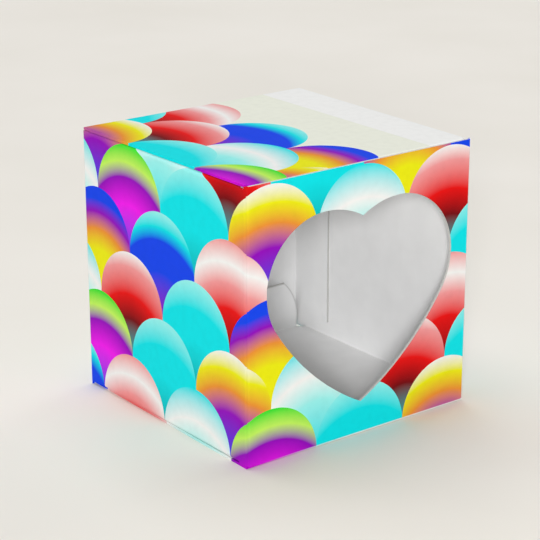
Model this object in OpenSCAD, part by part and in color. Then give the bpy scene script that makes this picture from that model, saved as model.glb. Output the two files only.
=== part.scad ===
// Favor box: a small reverse-tuck carton, die-cut from one sheet of card and folded up.
// The heart window faces -Y, the lid hinges on the back wall, the base flap hinges on the
// window wall, and each tucks in behind the wall across from its hinge.

/* [Box] */
// Outside width, across the window wall
box_w = 50.8; // [47:0.1:80]
// Outside depth, from the window wall to the back wall
box_d = 50.3; // [42:0.1:80]
// Outside height, with both ends closed
box_h = 50.9; // [47:0.1:80]

/* [Card] */
// Thickness of the card
card_t = 0.46; // [0.3:0.02:0.7]
// Inside radius of a crease
crease_r = 0.15; // [0.05:0.05:0.3]
// Air between a closed end flap and the dust flaps that it lies on
lay_gap = 0.1; // [0.1:0.05:0.3]

/* [Window] */
// Card left on each side of the heart, where it is widest
heart_side = 4.3; // [2:0.1:10]
// Card left below the heart's tip
heart_base = 6.4; // [3:0.1:10]
// Card left above the heart's lobes
heart_top = 7.3; // [3:0.1:10]
// Radius of the lobes' shoulders, as a share of the heart's width
shoulder_share = 0.304; // [0.24:0.002:0.34]
// Radius of the lobes' tops beside the cleft, as a share of the heart's width
crown_share = 0.38; // [0.36:0.002:0.9]
// Radius of the flanks that run down to the tip, as a share of the heart's width
flank_share = 1.2; // [0.8:0.01:2]

/* [End flaps] */
// How far each side of an end flap is drawn in at its hinge
hinge_inset = 0.1; // [0.05:0.05:0.4]
// How far each side of an end flap is drawn in at its tuck
tuck_inset = 0.7; // [0.5:0.05:2]
// Depth of the lid's tuck, from the top of the box
lid_tuck = 6.4; // [4:0.1:12]
// Depth of the base flap's tuck, from the underside of the box
base_tuck = 11.1; // [6:0.1:14]
// Straight part of a tuck's side, from its crease to its round shoulder
tuck_straight = 1.5; // [1:0.1:2.5]
// Radius of a tuck's shoulders, as a share of their height
tuck_round = 1.35; // [1.05:0.01:2]
// Room between a tuck and the wall that it slides behind
tuck_gap = 0.25; // [0.15:0.05:0.6]
// Room between a tuck and the side walls
tuck_side_gap = 0.28; // [0.05:0.01:0.6]

/* [Dust flaps] */
// Length of a dust flap, from the outside of its wall
dust_l = 20; // [10:0.5:24]
// Distance of a dust flap from the wall that carries the end flap
dust_hinge_relief = 2.4; // [1.5:0.1:6]
// Distance of a dust flap from the wall that takes the tuck
dust_tuck_relief = 3.2; // [2.8:0.1:8]
// Slant of the dust flap's edge on the hinge side, in degrees
dust_slant = 12; // [0:1:25]
// Corner that is cut off on the tuck side
dust_corner = 7; // [2:0.5:9]

/* [Glue tab] */
// Width of the glue tab, from the outside of the back wall
tab_w = 10.8; // [5:0.1:20]
// Distance of the tab's ends from the box's ends, at its crease
tab_end = 0.7; // [0.6:0.1:4]
// How much further each end of the tab is cut back at its free edge
tab_taper = 3.4; // [0:0.1:8]

/* [Hidden] */

$fn = 96;
crease_steps = 12;
weld = 0.002;
print_colour = [0.05, 0.72, 0.74];
lid_colour = [0.9, 0.91, 0.86];
card_colour = [0.93, 0.93, 0.92];

right_angle = 90;
half_fold = right_angle / 2;
half_turn = 2 * right_angle;

fold_r = card_t + crease_r;
seat = card_t + lay_gap;
front_l = box_w - 2 * fold_r;
side_l = box_d - 2 * fold_r;
back_l = box_w - card_t - 2 * fold_r;
tab_l = tab_w - fold_r;

// An upright crease starts clear of an end flap and of the crease that carries it
upright_from = max(seat, fold_r);

// Where a dust flap starts and ends along its side wall, and the height where its crease begins
dust_from = dust_hinge_relief - fold_r;
dust_to = side_l - dust_tuck_relief + fold_r;
dust_crease = box_h - seat - fold_r;

// An end flap turns about the outer skin of its hinge crease, half way round the fold
hinge_in = fold_r * (1 - cos(half_fold));
flap_l = box_d - card_t - tuck_gap - 2 * fold_r;
swing_r = box_d - card_t - tuck_gap - hinge_in;
tuck_half_w = box_w / 2 - 2 * card_t - tuck_side_gap;

// The heart is drawn about its own centre line, with its tip at zero
heart_w = box_w - 2 * heart_side;
heart_h = box_h - heart_base - heart_top;
shoulder_r = heart_w * shoulder_share;
crown_r = heart_w * crown_share;
flank_r = heart_w * flank_share;
shoulder = [heart_w / 2 - shoulder_r, heart_h - shoulder_r];
crown = shoulder - [0, crown_r - shoulder_r];

// The flank's circle passes through the tip and holds the shoulder's circle inside it
tip_span = norm(shoulder);
flank_along = (pow(tip_span, 2) + pow(flank_r, 2) - pow(flank_r - shoulder_r, 2)) / (2 * tip_span);
flank_across = sqrt(pow(flank_r, 2) - pow(flank_along, 2));
flank = (shoulder * flank_along + [-shoulder[1], shoulder[0]] * flank_across) / tip_span;

flank_start = atan2(shoulder[1] - flank[1], shoulder[0] - flank[0]);

// Right half of the heart. The shoulder's disc is a hair larger than its arc, so that the
// other two arcs cross it and no sliver is left where they would only touch.
module half_heart() {
    intersection() {
        union() {
            translate(shoulder) circle(shoulder_r + weld);
            intersection() {
                translate(crown) circle(crown_r);
                translate([0, shoulder[1]]) square([shoulder[0], 2 * shoulder_r]);
            }
            translate(flank)
                intersection() {
                    circle(flank_r);
                    rotate(flank_start - right_angle) square(2 * flank_r);
                }
        }
        translate([0, -heart_base]) square([heart_w, box_h]);
    }
}

module heart() {
    half_heart();
    mirror([1, 0]) half_heart();
}

// Flat card with the given outline, its printed face down
module card() {
    linear_extrude(card_t) children();
}

// Card bent round a crease at the end of a panel, over the stretch from low to high
module crease(low, high, angle = right_angle) {
    translate([0, high, fold_r])
        rotate([0, right_angle, -right_angle])
            rotate_extrude(angle = angle)
                translate([crease_r, 0]) square([card_t, high - low]);
}

// Carries the next panel past a panel's length and round the crease at its end
module past_crease(length, angle = right_angle) {
    translate([length, 0, fold_r])
        rotate([0, -angle, 0])
            translate([0, 0, -fold_r]) children();
}

// Dust flap at the top of a side wall, as seen along the wall from the hinge side
module dust_flap() {
    length = dust_l - fold_r;
    translate([0, dust_crease, 0])
        mirror([1, -1, 0]) {
            crease(dust_from, dust_to);
            past_crease(0)
                card() polygon([
                    [0, dust_from],
                    [length, dust_from + length * tan(dust_slant)],
                    [length, dust_to - dust_corner],
                    [length - dust_corner, dust_to],
                    [0, dust_to]
                ]);
        }
}

// The part of a side wall that gives way to a dust flap's crease
module dust_crease_room() {
    translate([dust_from, dust_crease]) square([dust_to - dust_from, fold_r]);
}

// The top and the bottom of a side wall are alike, turned half round
module both_ends() {
    children();
    translate([side_l, box_h]) rotate(half_turn) children();
}

module side_wall() {
    card()
        difference() {
            translate([0, seat]) square([side_l, box_h - 2 * seat]);
            both_ends() dust_crease_room();
        }
    both_ends() dust_flap();
}

// Window wall: a raw edge at the top, and half of the base flap's hinge crease below
module window_wall() {
    card()
        difference() {
            translate([0, fold_r]) square([front_l, box_h - fold_r]);
            translate([front_l / 2, heart_base]) heart();
        }
    translate([0, fold_r, 0]) rotate(-right_angle) crease(0, front_l, half_fold);
}

// Back wall: a raw edge below, and half of the lid's hinge crease at the top
module back_wall() {
    card() square([back_l, box_h - fold_r]);
    translate([0, box_h - fold_r, 0]) rotate(right_angle) crease(-back_l, 0, half_fold);
}

module glue_tab() {
    free_end = tab_end + tab_taper;
    card() polygon([
        [0, tab_end],
        [tab_l, free_end],
        [tab_l, box_h - free_end],
        [0, box_h - tab_end]
    ]);
}

// The walls in their order along the sheet, each folded up from the one before it,
// from the side wall that covers the seam round to the tab that is glued behind it
module carton_body() {
    color(print_colour)
        translate([box_w / 2, box_d / 2 - fold_r, 0])
            rotate([right_angle, 0, -right_angle]) {
                side_wall();
                translate([side_l, 0, 0]) crease(upright_from, box_h);
                past_crease(side_l) {
                    window_wall();
                    translate([front_l, 0, 0]) crease(upright_from, box_h);
                    past_crease(front_l) {
                        translate([side_l, 0, 0]) mirror([1, 0, 0]) side_wall();
                        translate([side_l, 0, 0]) crease(0, box_h - upright_from);
                        past_crease(side_l) {
                            back_wall();
                            translate([back_l, 0, 0]) crease(tab_end, box_h - tab_end);
                            past_crease(back_l) glue_tab();
                        }
                    }
                }
            }
}

// Side profile of a strip that turns through a crease and then runs on straight
module bent_profile(angle, length) {
    turns = [for (step = [0 : crease_steps]) angle * step / crease_steps];
    function around(radius, turn) = [radius * sin(turn), fold_r - radius * cos(turn)];
    run = length * [cos(angle), sin(angle)];
    polygon([
        for (turn = turns) around(fold_r, turn),
        around(fold_r, angle) + run,
        around(crease_r, angle) + run,
        for (step = [crease_steps : -1 : 0]) around(crease_r, turns[step])
    ]);
}

// Tuck outline from behind its crease to its free edge. Each side has a short straight part and
// then a round shoulder, whose disc is a hair larger so that it crosses the side's line.
module tuck_outline(length) {
    back = 2 * fold_r;
    round_r = (length - tuck_straight) * tuck_round;
    round_at = tuck_half_w - round_r;
    translate([-back, -tuck_half_w]) square([back + tuck_straight, 2 * tuck_half_w]);
    intersection() {
        translate([0, -tuck_half_w]) square([length, 2 * tuck_half_w]);
        union() {
            translate([0, -round_at]) square([length, 2 * round_at]);
            for (side = [-1, 1]) translate([tuck_straight, side * round_at]) circle(round_r + weld);
        }
    }
}

// A tuck with its crease: a bent strip, cut to the tuck's outline
module tuck(length, angle) {
    depth = 4 * fold_r;
    intersection() {
        rotate([right_angle, 0, 0])
            linear_extrude(box_w, center = true) bent_profile(angle, 2 * length);
        past_crease(0, angle)
            translate([0, 0, -fold_r]) linear_extrude(depth) tuck_outline(length);
    }
}

// End flap in the lid's place. Its tuck leans in by just the angle at which its free edge
// swings no wider than its crease does, so it leaves the box without meeting the wall.
module end_flap(tuck_l) {
    lean = asin(tuck_l / (2 * swing_r));
    hinge_half_w = box_w / 2 - hinge_inset;
    end_half_w = box_w / 2 - tuck_inset;
    translate([0, box_d / 2 - fold_r, box_h])
        rotate([half_turn, 0, -right_angle]) {
            mirror([1, 0, 0]) crease(-hinge_half_w, hinge_half_w, half_fold);
            card() polygon([
                [0, -hinge_half_w],
                [flap_l, -end_half_w],
                [flap_l, end_half_w],
                [0, hinge_half_w]
            ]);
            translate([flap_l, 0, 0]) tuck(tuck_l - fold_r, right_angle + lean);
        }
}

module lid_flap() {
    color(lid_colour) end_flap(lid_tuck);
}

// The base flap is an end flap turned over, front to back
module base_flap() {
    color(card_colour)
        translate([0, 0, box_h]) rotate([half_turn, 0, 0]) end_flap(base_tuck);
}

carton_body();
lid_flap();
base_flap();
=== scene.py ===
import math
from typing import NamedTuple

import bpy
from mathutils import Matrix, Quaternion, Vector


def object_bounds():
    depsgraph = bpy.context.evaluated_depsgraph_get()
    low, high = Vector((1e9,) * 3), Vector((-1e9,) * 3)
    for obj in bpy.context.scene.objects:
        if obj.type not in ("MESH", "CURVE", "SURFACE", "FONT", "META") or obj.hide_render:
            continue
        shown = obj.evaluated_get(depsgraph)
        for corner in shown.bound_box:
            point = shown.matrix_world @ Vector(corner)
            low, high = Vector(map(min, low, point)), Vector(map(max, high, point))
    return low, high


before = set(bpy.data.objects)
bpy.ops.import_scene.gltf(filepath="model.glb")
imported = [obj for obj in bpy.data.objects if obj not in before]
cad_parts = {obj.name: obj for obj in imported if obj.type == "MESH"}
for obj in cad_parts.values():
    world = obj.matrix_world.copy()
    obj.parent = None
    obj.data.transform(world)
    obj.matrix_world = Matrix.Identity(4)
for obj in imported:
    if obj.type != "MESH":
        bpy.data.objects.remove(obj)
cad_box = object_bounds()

# The favor box's looks: print and bare card on the CAD's folded sheet, in a plain studio
MM = 0.001
BOX = cad_box[1] - cad_box[0]
HALF = BOX / 2
MIDDLE = Vector((0, 0, HALF.z))

# The folded sheet, with the sizes of the part's source
CARD = 0.46 * MM
CREASE_R = 0.15 * MM
FOLD_R = CARD + CREASE_R
TAB_W = 10.8 * MM
LID_TUCK = 6.4 * MM
BASE_TUCK = 11.1 * MM
TUCK_SIDE_GAP = 0.28 * MM
TUCK_HALF_W = HALF.x - 2 * CARD - TUCK_SIDE_GAP
TUCK_STRAIGHT = 1.5 * MM
TUCK_ROUND = 1.35

# Distances in from the box's outside that are past a crease's bend, and past what shows in the slits
PAST_FOLD = 2 * FOLD_R
PAST_SLIT = 3 * CARD

# The photograph's camera, fitted to the box's edges, with its angles in degrees
IMAGE_PX = 540
FOCAL_PX = 1854.8
SENSOR_MM = 36
CAMERA_AZIMUTH, CAMERA_ELEVATION, CAMERA_ROLL = -37.536, 18.956, -0.108
CAMERA_PLACE = Vector((-200.04, -258.94, 136.83)) * MM
CLIP_START = 10 * MM

# Colours, from 0 to 255
BLACK = (0, 0, 0)
WHITE = (236, 236, 234)
CREAM = (230, 232, 219)
# Painted shade for the glue tab's cut edge, standing for the shadow in the gap there
TAB_EDGE_SHADE = (178, 177, 175)
# Painted shade along the tucks' cut edges
TUCK_EDGE_SHADE = (214, 214, 213)
PALE_CYAN = (150, 234, 230)
CYAN = (0, 218, 224)
TEAL = (0, 165, 168)
PINK = (232, 148, 148)
RED = (224, 8, 8)
DARK_RED = (112, 0, 8)
YELLOW = (228, 226, 10)
ORANGE = (226, 140, 50)
VIOLET = (142, 0, 180)
BLUE = (14, 66, 228)
LIME = (188, 234, 92)
GREEN = (10, 216, 44)
MAGENTA = (232, 20, 228)

# The shells of a row in their order: each one's colours from its tip to its rim
SEA = [(0, TEAL), (0.45, CYAN), (0.75, CYAN), (1, PALE_CYAN)]
FOAM = [(0, CYAN), (0.45, PALE_CYAN), (0.7, WHITE), (1, CYAN)]
ROSE = [(0, TEAL), (0.36, DARK_RED), (0.6, RED), (0.86, PINK), (1, WHITE)]
BLUSH = [(0, DARK_RED), (0.4, RED), (0.62, PINK), (0.8, WHITE), (1, PINK)]
TIDE = [(0, VIOLET), (0.45, BLUE), (0.74, BLUE), (0.86, CYAN), (1, PALE_CYAN)]
DUSK = [(0, BLUE), (0.45, VIOLET), (0.66, ORANGE), (0.84, YELLOW), (1, WHITE)]
DAWN = [(0, YELLOW), (0.4, YELLOW), (0.6, ORANGE), (0.76, VIOLET), (0.88, BLUE), (1, BLUE)]
LEAF = [(0, BLUE), (0.45, MAGENTA), (0.7, VIOLET), (0.84, LIME), (1, GREEN)]
SHELLS = [SEA, DUSK, FOAM, ROSE, SEA, DAWN, TIDE, BLUSH, FOAM, LEAF]

# The print: a row of shells goes once round the walls, and each row up starts further on in their order
SHELL_R = (BOX.x + BOX.y) / len(SHELLS)
SHELL_ROW_STEP = 3
LID_LAST_ROW = 2
LID_BAND = 9.3 * MM
BLEED = 3 * MM

# Nodes tell whole numbers apart half way between them
HALF_STEP = 0.5

# Lines on the creases: how far off the ridge they stay full and how far they reach, in fold radii. The worn
# line is wear that shows the card. The other line is painted shade on the crease between the near walls,
# which tones down that crease's highlight, and its share is how much it darkens.
WORN_LINE = (0.6, 0.9)
NEAR_CREASE_SHADE_LINE = (0.2, 1)
NEAR_CREASE_SHADE_DEPTH = 0.2

# The line of painted shade along a tuck's edge: how far in it stays full and how far it reaches
TUCK_EDGE_SHADE_LINE = (0.1 * MM, 0.4 * MM)

# Ink lies thicker, and so a little darker, where its noise is high
INK_MOTTLE = 1.5 * MM
INK_THICK = (0.35, 0.8)
INK_DARKENING = 0.04

# Noise: its levels of detail, and the values that it mostly keeps between
COARSE, MEDIUM, FINE = 2, 3, 4
NOISE_LOW, NOISE_HIGH = 0.3, 0.7

# Plain surfaces drift between two tones in patches of these sizes
BARE_MOTTLE, BARE_TONES = 5 * MM, ((239, 239, 239), (244, 244, 244))
CORE_MOTTLE, CORE_TONES = 0.3 * MM, ((200, 199, 195), (217, 216, 212))
FLOOR_MOTTLE, FLOOR_TONES = 60 * MM, ((233, 229, 221), (237, 233, 226))

# The studio
FLOOR_REACH = 60 * BOX.x
FLOOR_GRAIN = 2 * MM
FLOOR_RELIEF = 0.01 * MM
FLOOR_ROUGHNESS = 0.9
FLOOR_SPECULAR = 0.1
WORLD_STRENGTH = 0.2


class Surface(NamedTuple):
    """How card takes the light: patches of a range of roughness, and fibres that stand out a little.
    Patch and fibre are sizes, relief is how far the fibres stand out, and stretch is as for noise."""
    specular: float
    roughness: tuple
    patch: float
    patch_detail: float
    fibre: float
    stretch: tuple
    relief: float


INK = Surface(specular=0.12, roughness=(0.66, 0.78), patch=4 * MM, patch_detail=MEDIUM,
              fibre=0.25 * MM, stretch=(1, 1, 0.6), relief=0.004 * MM)
BARE = Surface(specular=0.1, roughness=(0.78, 0.92), patch=2 * MM, patch_detail=MEDIUM,
               fibre=0.2 * MM, stretch=(1, 1, 0.5), relief=0.008 * MM)
CORE = Surface(specular=0.5, roughness=(0.75, 0.9), patch=0.5 * MM, patch_detail=COARSE,
               fibre=0.12 * MM, stretch=(1, 1, 1), relief=0.02 * MM)


def linear(colour):
    """An sRGB colour of 0 to 255 as Blender's linear colour."""
    shares = [c / 255 for c in colour]
    return (*[s / 12.92 if s <= 0.04045 else ((s + 0.055) / 1.055) ** 2.4 for s in shares], 1)


class Graph:
    """The nodes of one material. What goes into a node is a number, a colour or another node's output."""

    def __init__(self, name):
        self.material = bpy.data.materials.new(name)
        self.material.use_nodes = True
        self.nodes = self.material.node_tree.nodes
        self.shader = self.nodes["Principled BSDF"]

    def feed(self, socket, value):
        if isinstance(value, bpy.types.NodeSocket):
            self.material.node_tree.links.new(value, socket)
        else:
            socket.default_value = value

    def math(self, operation, *values):
        node = self.nodes.new("ShaderNodeMath")
        node.operation = operation
        for socket, value in zip(node.inputs, values):
            self.feed(socket, value)
        return node.outputs[0]

    def point(self):
        """The shaded point in the box's frame, at rest."""
        return self.nodes.new("ShaderNodeTexCoord").outputs["Object"]

    def place(self):
        """The shaded point's X, Y and Z."""
        split = self.nodes.new("ShaderNodeSeparateXYZ")
        self.feed(split.inputs[0], self.point())
        return split.outputs

    def pick(self, share, first, second):
        """The first number where share is 0, the second where it is 1."""
        return self.math("MULTIPLY_ADD", share, self.math("SUBTRACT", second, first), first)

    def mix(self, share, first, second):
        """The first colour where share is 0, the second where it is 1."""
        node = self.nodes.new("ShaderNodeMix")
        node.data_type = "RGBA"
        sockets = [s for s in node.inputs if s.enabled]
        for socket, value in zip(sockets, (share, first, second)):
            self.feed(socket, value)
        return next(s for s in node.outputs if s.enabled)

    def ramp(self, value, stops):
        node = self.nodes.new("ShaderNodeValToRGB")
        elements = node.color_ramp.elements
        for index, (position, colour) in enumerate(stops):
            stop = elements[index] if index < len(elements) else elements.new(position)
            stop.position = position
            stop.color = linear(colour)
        self.feed(node.inputs[0], value)
        return node.outputs[0]

    def slope(self, value, low, high):
        """0 below low and 1 above high, smooth between them."""
        node = self.nodes.new("ShaderNodeMapRange")
        node.interpolation_type = "SMOOTHSTEP"
        for socket, number in zip(node.inputs, (value, low, high, 0, 1)):
            self.feed(socket, number)
        return node.outputs[0]

    def noise(self, size, detail, stretch=(1, 1, 1)):
        """Noise with grains of about this size, longer along an axis with a smaller stretch."""
        scaled = self.nodes.new("ShaderNodeVectorMath")
        scaled.operation = "MULTIPLY"
        self.feed(scaled.inputs[0], self.point())
        self.feed(scaled.inputs[1], Vector(stretch) / size)
        node = self.nodes.new("ShaderNodeTexNoise")
        self.feed(node.inputs["Scale"], 1)
        self.feed(node.inputs["Detail"], detail)
        self.feed(node.inputs["Vector"], scaled.outputs[0])
        return node.outputs["Fac"]

    def mottle(self, size, detail, tones):
        """A colour that drifts between two tones in patches of about this size."""
        return self.ramp(self.noise(size, detail), list(zip((NOISE_LOW, NOISE_HIGH), tones)))

    def finish(self, colour, roughness, specular, height, relief):
        """Connects a colour and its shine, and bumps of this relief."""
        bump = self.nodes.new("ShaderNodeBump")
        self.feed(bump.inputs["Strength"], 1)
        self.feed(bump.inputs["Distance"], relief)
        self.feed(bump.inputs["Height"], height)
        self.feed(self.shader.inputs["Base Color"], colour)
        self.feed(self.shader.inputs["Roughness"], roughness)
        self.feed(self.shader.inputs["Specular IOR Level"], specular)
        self.feed(self.shader.inputs["Normal"], bump.outputs[0])
        return self.material

    def finish_card(self, colour, surface):
        """Connects a colour and one of the card's surfaces."""
        roughness = self.pick(self.noise(surface.patch, surface.patch_detail), *surface.roughness)
        fibres = self.noise(surface.fibre, MEDIUM, surface.stretch)
        return self.finish(colour, roughness, surface.specular, fibres, surface.relief)


def length(graph, first, second):
    """The length of a line that goes so far along each of two axes."""
    squares = [graph.math("POWER", side, 2) for side in (first, second)]
    return graph.math("SQRT", graph.math("ADD", *squares))


def inset(graph, value, half):
    """How far a point lies in from the nearer of the box's faces on one axis."""
    return graph.math("SUBTRACT", half, graph.math("ABSOLUTE", value))


def shell_row(graph, across, up, row):
    """Where a point lies in a row's nearest shell, in radii from its centre, and that shell's number."""
    shift = graph.math("FLOORED_MODULO", row, 2)
    shifted = graph.math("SUBTRACT", across, shift)
    beside = graph.math("WRAP", shifted, 1, -1)
    above = graph.math("SUBTRACT", up, row)
    number = graph.math("DIVIDE", graph.math("SUBTRACT", shifted, beside), 2)
    return beside, above, graph.math("ROUND", number)


def shells(graph, across, up):
    """Overlapping shells, each row in front of the next one up: the print's colour, and the shell's row."""
    across = graph.math("DIVIDE", across, SHELL_R)
    up = graph.math("DIVIDE", up, SHELL_R)
    near_row = graph.math("FLOOR", up)
    next_row = graph.math("ADD", near_row, 1)
    near = shell_row(graph, across, up, near_row)
    behind = shell_row(graph, across, up, next_row)
    is_behind = graph.math("GREATER_THAN", length(graph, near[0], near[1]), 1)
    beside, above, number = (graph.pick(is_behind, a, b) for a, b in zip(near, behind))
    row = graph.pick(is_behind, near_row, next_row)

    # A shell's tip is a radius below its centre, and the top of its rim is two radii from the tip
    from_tip = graph.math("DIVIDE", length(graph, beside, graph.math("ADD", above, 1)), 2)
    counted = graph.math("MULTIPLY_ADD", row, SHELL_ROW_STEP, number)
    kind = graph.math("FLOORED_MODULO", graph.math("ROUND", counted), len(SHELLS))
    colour = graph.ramp(from_tip, SHELLS[0])
    for index, stops in enumerate(SHELLS[1:], 1):
        is_kind = graph.math("COMPARE", kind, index, HALF_STEP)
        colour = graph.mix(is_kind, colour, graph.ramp(from_tip, stops))
    return colour, row


def crease_line(graph, first, second, line):
    """1 along the ridge of a crease, from the distances to the two faces that meet there."""
    off_ridge = graph.math("MAXIMUM", first, second)
    full, reach = line
    return graph.math("SUBTRACT", 1, graph.slope(off_ridge, full * FOLD_R, reach * FOLD_R))


def finish_print(graph, colour):
    """Ink on card: it lies a little thicker in faint mottles, and the card's fibres stand out under it."""
    thick = graph.slope(graph.noise(INK_MOTTLE, FINE), *INK_THICK)
    colour = graph.mix(graph.math("MULTIPLY", thick, INK_DARKENING), colour, linear(BLACK))
    return graph.finish_card(colour, INK)


def wall_shells(graph, x, y, z):
    """The print's colour on the walls: shells run round all four, and on over the dust flaps' creases."""
    side_share = graph.math("DIVIDE", graph.math("ABSOLUTE", x), HALF.x)
    end_share = graph.math("DIVIDE", graph.math("ABSOLUTE", y), HALF.y)
    is_side = graph.math("GREATER_THAN", side_share, end_share)
    is_back = graph.math("GREATER_THAN", y, 0)
    round_side = graph.math("MULTIPLY", graph.math("SIGN", x), graph.math("ADD", y, HALF.x + HALF.y))
    round_end = graph.pick(is_back, x, graph.math("SUBTRACT", BOX.x + BOX.y, x))
    across = graph.pick(is_side, round_end, round_side)

    over_crease = graph.math("SUBTRACT", inset(graph, x, HALF.x), FOLD_R)
    on_flap = graph.math("MULTIPLY", is_side, graph.math("MAXIMUM", over_crease, 0))
    up_or_down = graph.math("SIGN", graph.math("SUBTRACT", z, HALF.z))
    colour, _ = shells(graph, across, graph.math("MULTIPLY_ADD", on_flap, up_or_down, z))
    return colour


def printed_walls():
    """The carton's outside: the print on the walls, and bare card on the flaps past the bleed."""
    graph = Graph("printed_walls")
    x, y, z = graph.place()
    colour = wall_shells(graph, x, y, z)

    # The print wears to a light line at the creases. The crease between the near walls has no worn line; it
    # gets a line of painted shade that tones down its highlight.
    is_back = graph.math("GREATER_THAN", y, 0)
    from_side = inset(graph, x, HALF.x)
    from_end = inset(graph, y, HALF.y)
    from_hinge = graph.pick(is_back, z, graph.math("SUBTRACT", BOX.z, z))
    worn = crease_line(graph, from_end, graph.math("MINIMUM", from_side, from_hinge), WORN_LINE)
    # Painted shade on the crease between the near walls, toning down the highlight there
    near_crease_shade = crease_line(graph, from_end, from_side, NEAR_CREASE_SHADE_LINE)
    is_far = graph.math("MAXIMUM", is_back, graph.slope(x, -HALF.x, 0))
    is_near = graph.math("SUBTRACT", 1, is_far)
    colour = graph.mix(graph.math("MULTIPLY", worn, is_far), colour, linear(WHITE))
    near_crease_shade_share = graph.math("MULTIPLY", graph.math("MULTIPLY", near_crease_shade, is_near), NEAR_CREASE_SHADE_DEPTH)
    colour = graph.mix(near_crease_shade_share, colour, linear(BLACK))

    on_flap = graph.math("GREATER_THAN", from_end, PAST_FOLD)
    bare = graph.math("MULTIPLY", on_flap, graph.math("GREATER_THAN", from_side, BLEED))
    return finish_print(graph, graph.mix(bare, colour, linear(WHITE)))


def printed_lid():
    """The lid's outside: rows of shells from one side, a cream field, and a bare band along the other."""
    graph = Graph("printed_lid")
    x, y, z = graph.place()
    from_top = graph.math("SUBTRACT", BOX.z, z)
    over_crease = graph.math("MULTIPLY", graph.math("LESS_THAN", y, 0), from_top)
    colour, row = shells(graph, graph.math("SUBTRACT", y, over_crease), graph.math("ADD", x, HALF.x))
    is_field = graph.math("GREATER_THAN", row, LID_LAST_ROW + HALF_STEP)
    colour = graph.mix(is_field, colour, linear(CREAM))

    on_band = graph.math("GREATER_THAN", x, HALF.x - LID_BAND)
    on_tuck = graph.math("GREATER_THAN", from_top, BLEED)
    worn = crease_line(graph, graph.math("SUBTRACT", HALF.y, y), from_top, WORN_LINE)
    bare = graph.math("MAXIMUM", on_band, graph.math("MAXIMUM", on_tuck, worn))
    return finish_print(graph, graph.mix(bare, colour, linear(WHITE)))


def bare_card():
    """Unprinted card: white with a faint mottle."""
    graph = Graph("bare_card")
    return graph.finish_card(graph.mottle(BARE_MOTTLE, FINE, BARE_TONES), BARE)


def tuck_inside(graph, x, from_end, tuck):
    """Bare card's colour, with a line of painted shade along the edge of a round-shouldered tuck."""
    along = graph.math("SUBTRACT", from_end, FOLD_R)
    tuck_l = tuck - FOLD_R
    round_r = (tuck_l - TUCK_STRAIGHT) * TUCK_ROUND
    beside = graph.math("SUBTRACT", graph.math("ABSOLUTE", x), TUCK_HALF_W - round_r)
    above = graph.math("SUBTRACT", along, TUCK_STRAIGHT)
    reach = length(graph, graph.math("MAXIMUM", beside, 0), graph.math("MAXIMUM", above, 0))
    to_shoulder = graph.math("SUBTRACT", round_r, reach)
    to_free_edge = graph.math("SUBTRACT", tuck_l, along)
    off_edge = graph.slope(graph.math("MINIMUM", to_shoulder, to_free_edge), *TUCK_EDGE_SHADE_LINE)
    on_tuck = graph.slope(along, 0, TUCK_STRAIGHT)
    # Painted shade along the tuck's edge
    painted_edge_shade = graph.math("MULTIPLY", on_tuck, graph.math("SUBTRACT", 1, off_edge))
    return graph.mix(painted_edge_shade, graph.mottle(BARE_MOTTLE, FINE, BARE_TONES), linear(TUCK_EDGE_SHADE))


def lid_inside():
    graph = Graph("lid_inside")
    x, _, z = graph.place()
    from_top = graph.math("SUBTRACT", BOX.z, z)
    return graph.finish_card(tuck_inside(graph, x, from_top, LID_TUCK), BARE)


def base_inside():
    """The base flap's inside. Its side edges show below the side walls, and are inked like those walls."""
    graph = Graph("base_inside")
    x, y, z = graph.place()
    at_side = graph.math("LESS_THAN", inset(graph, x, HALF.x), FOLD_R)
    colour = graph.mix(at_side, tuck_inside(graph, x, z, BASE_TUCK), wall_shells(graph, x, y, z))
    return graph.finish_card(colour, BARE)


def cut_edge():
    """The card's core where the die cut it, with painted shade on the glue tab's cut edge for the shadow in
    the gap there.
    The dust flaps' ends show in the slits at the side walls' ends, and are inked like those walls."""
    graph = Graph("cut_edge")
    x, y, z = graph.place()
    under_wall = graph.math("COMPARE", x, HALF.x - CARD - CARD / 2, CARD / 2)
    on_tab = graph.math("COMPARE", y, HALF.y - TAB_W, CARD)
    colour = graph.mottle(CORE_MOTTLE, MEDIUM, CORE_TONES)
    # Painted shade on the glue tab's cut edge
    colour = graph.mix(graph.math("MULTIPLY", under_wall, on_tab), colour, linear(TAB_EDGE_SHADE))

    at_end = graph.math("LESS_THAN", graph.math("PINGPONG", z, HALF.z), PAST_FOLD)
    at_side = graph.math("LESS_THAN", inset(graph, x, HALF.x), PAST_SLIT)
    off_walls = graph.math("GREATER_THAN", inset(graph, y, HALF.y), PAST_FOLD)
    in_slit = graph.math("MULTIPLY", graph.math("MULTIPLY", at_end, at_side), off_walls)
    return graph.finish_card(graph.mix(in_slit, colour, wall_shells(graph, x, y, z)), CORE)


# A side's number is also the slot of its material
OUTSIDE, INSIDE, CUT = range(3)

# Least cosines between neighbours on one side, and between a face and the way that it looks
SMOOTH = math.cos(math.radians(60))
FACING = 0.99

# Corners are one if they agree to so many digits, in millimetres
SPOT_DIGITS = 3


def furthest(mesh, facing, towards):
    """The face that looks along facing and lies furthest towards a direction."""
    looking = [face for face in mesh.polygons if face.normal.dot(facing) > FACING]
    return max(looking, key=lambda face: face.center.dot(towards)).index


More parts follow.
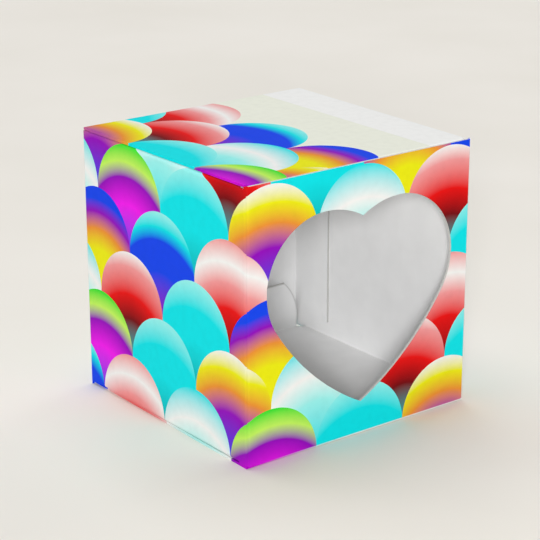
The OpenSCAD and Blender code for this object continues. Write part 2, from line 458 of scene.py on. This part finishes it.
def sheet_sides(mesh, outward):
    """Sorts a folded sheet's faces into its outside, its inside and its cut edges. A side is all that
    can be reached from one of its faces over creases, without crossing a sharp edge."""

    def edges(face):
        spots = [tuple(round(c / MM, SPOT_DIGITS) for c in mesh.vertices[v].co) for v in face.vertices]
        return [frozenset(pair) for pair in zip(spots, spots[1:] + spots[:1])]

    sharing = {}
    for face in mesh.polygons:
        for edge in edges(face):
            sharing.setdefault(edge, []).append(face)
    sides = [CUT] * len(mesh.polygons)
    starts = {OUTSIDE: furthest(mesh, outward, outward), INSIDE: furthest(mesh, -outward, outward)}
    for side, start in starts.items():
        sides[start] = side
        waiting = [mesh.polygons[start]]
        while waiting:
            face = waiting.pop()
            for edge in edges(face):
                for other in sharing[edge]:
                    if sides[other.index] == CUT and face.normal.dot(other.normal) > SMOOTH:
                        sides[other.index] = side
                        waiting.append(other)
    return sides


def is_inked(face, side):
    """Whether the print runs over a face of a hinge's crease, or a cut edge at the end of a side wall."""
    x, y, z = face.center - MIDDLE
    at_end = abs(z) > HALF.z - PAST_FOLD
    on_hinge = side != INSIDE and y * z > 0 and abs(y) > HALF.y - FOLD_R
    at_side_wall = side == CUT and abs(x) > HALF.x - PAST_SLIT
    return at_end and (on_hinge or at_side_wall)


def dress(node, outward, materials, ink):
    """Gives a node's outside, inside and cut edges their materials, and ink to what the print covers."""
    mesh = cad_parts[node].data
    mesh.materials.clear()
    if ink not in materials:
        materials = [*materials, ink]
    for material in materials:
        mesh.materials.append(material)
    slots = sheet_sides(mesh, Vector(outward))
    for face in mesh.polygons:
        if is_inked(face, slots[face.index]):
            slots[face.index] = materials.index(ink)
    mesh.polygons.foreach_set("material_index", slots)


def dress_box():
    walls, lid, card, edge = printed_walls(), printed_lid(), bare_card(), cut_edge()
    dress("carton_body", (0, -1, 0), [walls, card, edge], walls)
    dress("lid_flap", (0, 0, 1), [lid, lid_inside(), edge], lid)
    dress("base_flap", (0, 0, -1), [card, base_inside(), edge], walls)


def make_floor():
    graph = Graph("floor")
    colour = graph.mottle(FLOOR_MOTTLE, COARSE, FLOOR_TONES)
    grain = graph.noise(FLOOR_GRAIN, COARSE)
    material = graph.finish(colour, FLOOR_ROUGHNESS, FLOOR_SPECULAR, grain, FLOOR_RELIEF)
    corners = [(x * FLOOR_REACH, y * FLOOR_REACH, 0) for x, y in ((-1, -1), (1, -1), (1, 1), (-1, 1))]
    mesh = bpy.data.meshes.new("floor")
    mesh.from_pydata(corners, [], [(0, 1, 2, 3)])
    mesh.materials.append(material)
    floor = bpy.data.objects.new("floor", mesh)
    bpy.context.scene.collection.objects.link(floor)


def direction(azimuth, elevation):
    """The way to a place at these angles, in degrees: azimuth 0 is before the window, 90 on its right."""
    a, e = math.radians(azimuth), math.radians(elevation)
    return Vector((math.sin(a) * math.cos(e), -math.cos(a) * math.cos(e), math.sin(e)))


def set_up(name, data, place, turn):
    """Puts a lamp or a camera in its place, turned as it should look."""
    thing = bpy.data.objects.new(name, data)
    thing.matrix_world = Matrix.LocRotScale(place, turn, None)
    bpy.context.scene.collection.objects.link(thing)
    return thing


def make_lamp(name, azimuth, elevation, distance, size, watts):
    """A square softbox that looks at the box's middle."""
    back = direction(azimuth, elevation)
    data = bpy.data.lights.new(name, "AREA")
    data.size = size
    data.energy = watts
    set_up(name, data, MIDDLE + back * distance, back.to_track_quat("Z", "Y"))


def make_light():
    scene = bpy.context.scene
    scene.view_settings.view_transform = "Standard"
    world = bpy.data.worlds.new("studio")
    world.use_nodes = True
    background = world.node_tree.nodes["Background"]
    background.inputs["Color"].default_value = (1, 1, 1, 1)
    background.inputs["Strength"].default_value = WORLD_STRENGTH
    scene.world = world
    make_lamp("top", azimuth=180, elevation=70, distance=1.5, size=1.35, watts=15)
    make_lamp("front", azimuth=-40.4, elevation=16.8, distance=1.2, size=0.22, watts=11.1)
    make_lamp("right", azimuth=100, elevation=22, distance=1.2, size=0.72, watts=3.2)


def make_camera():
    back = direction(CAMERA_AZIMUTH, CAMERA_ELEVATION)
    roll = Quaternion((0, 0, 1), math.radians(CAMERA_ROLL))
    data = bpy.data.cameras.new("camera")
    data.sensor_width = SENSOR_MM
    data.lens = SENSOR_MM * FOCAL_PX / IMAGE_PX
    data.clip_start = CLIP_START
    camera = set_up("camera", data, CAMERA_PLACE, back.to_track_quat("Z", "Y") @ roll)
    bpy.context.scene.camera = camera


dress_box()
make_floor()
make_light()
make_camera()
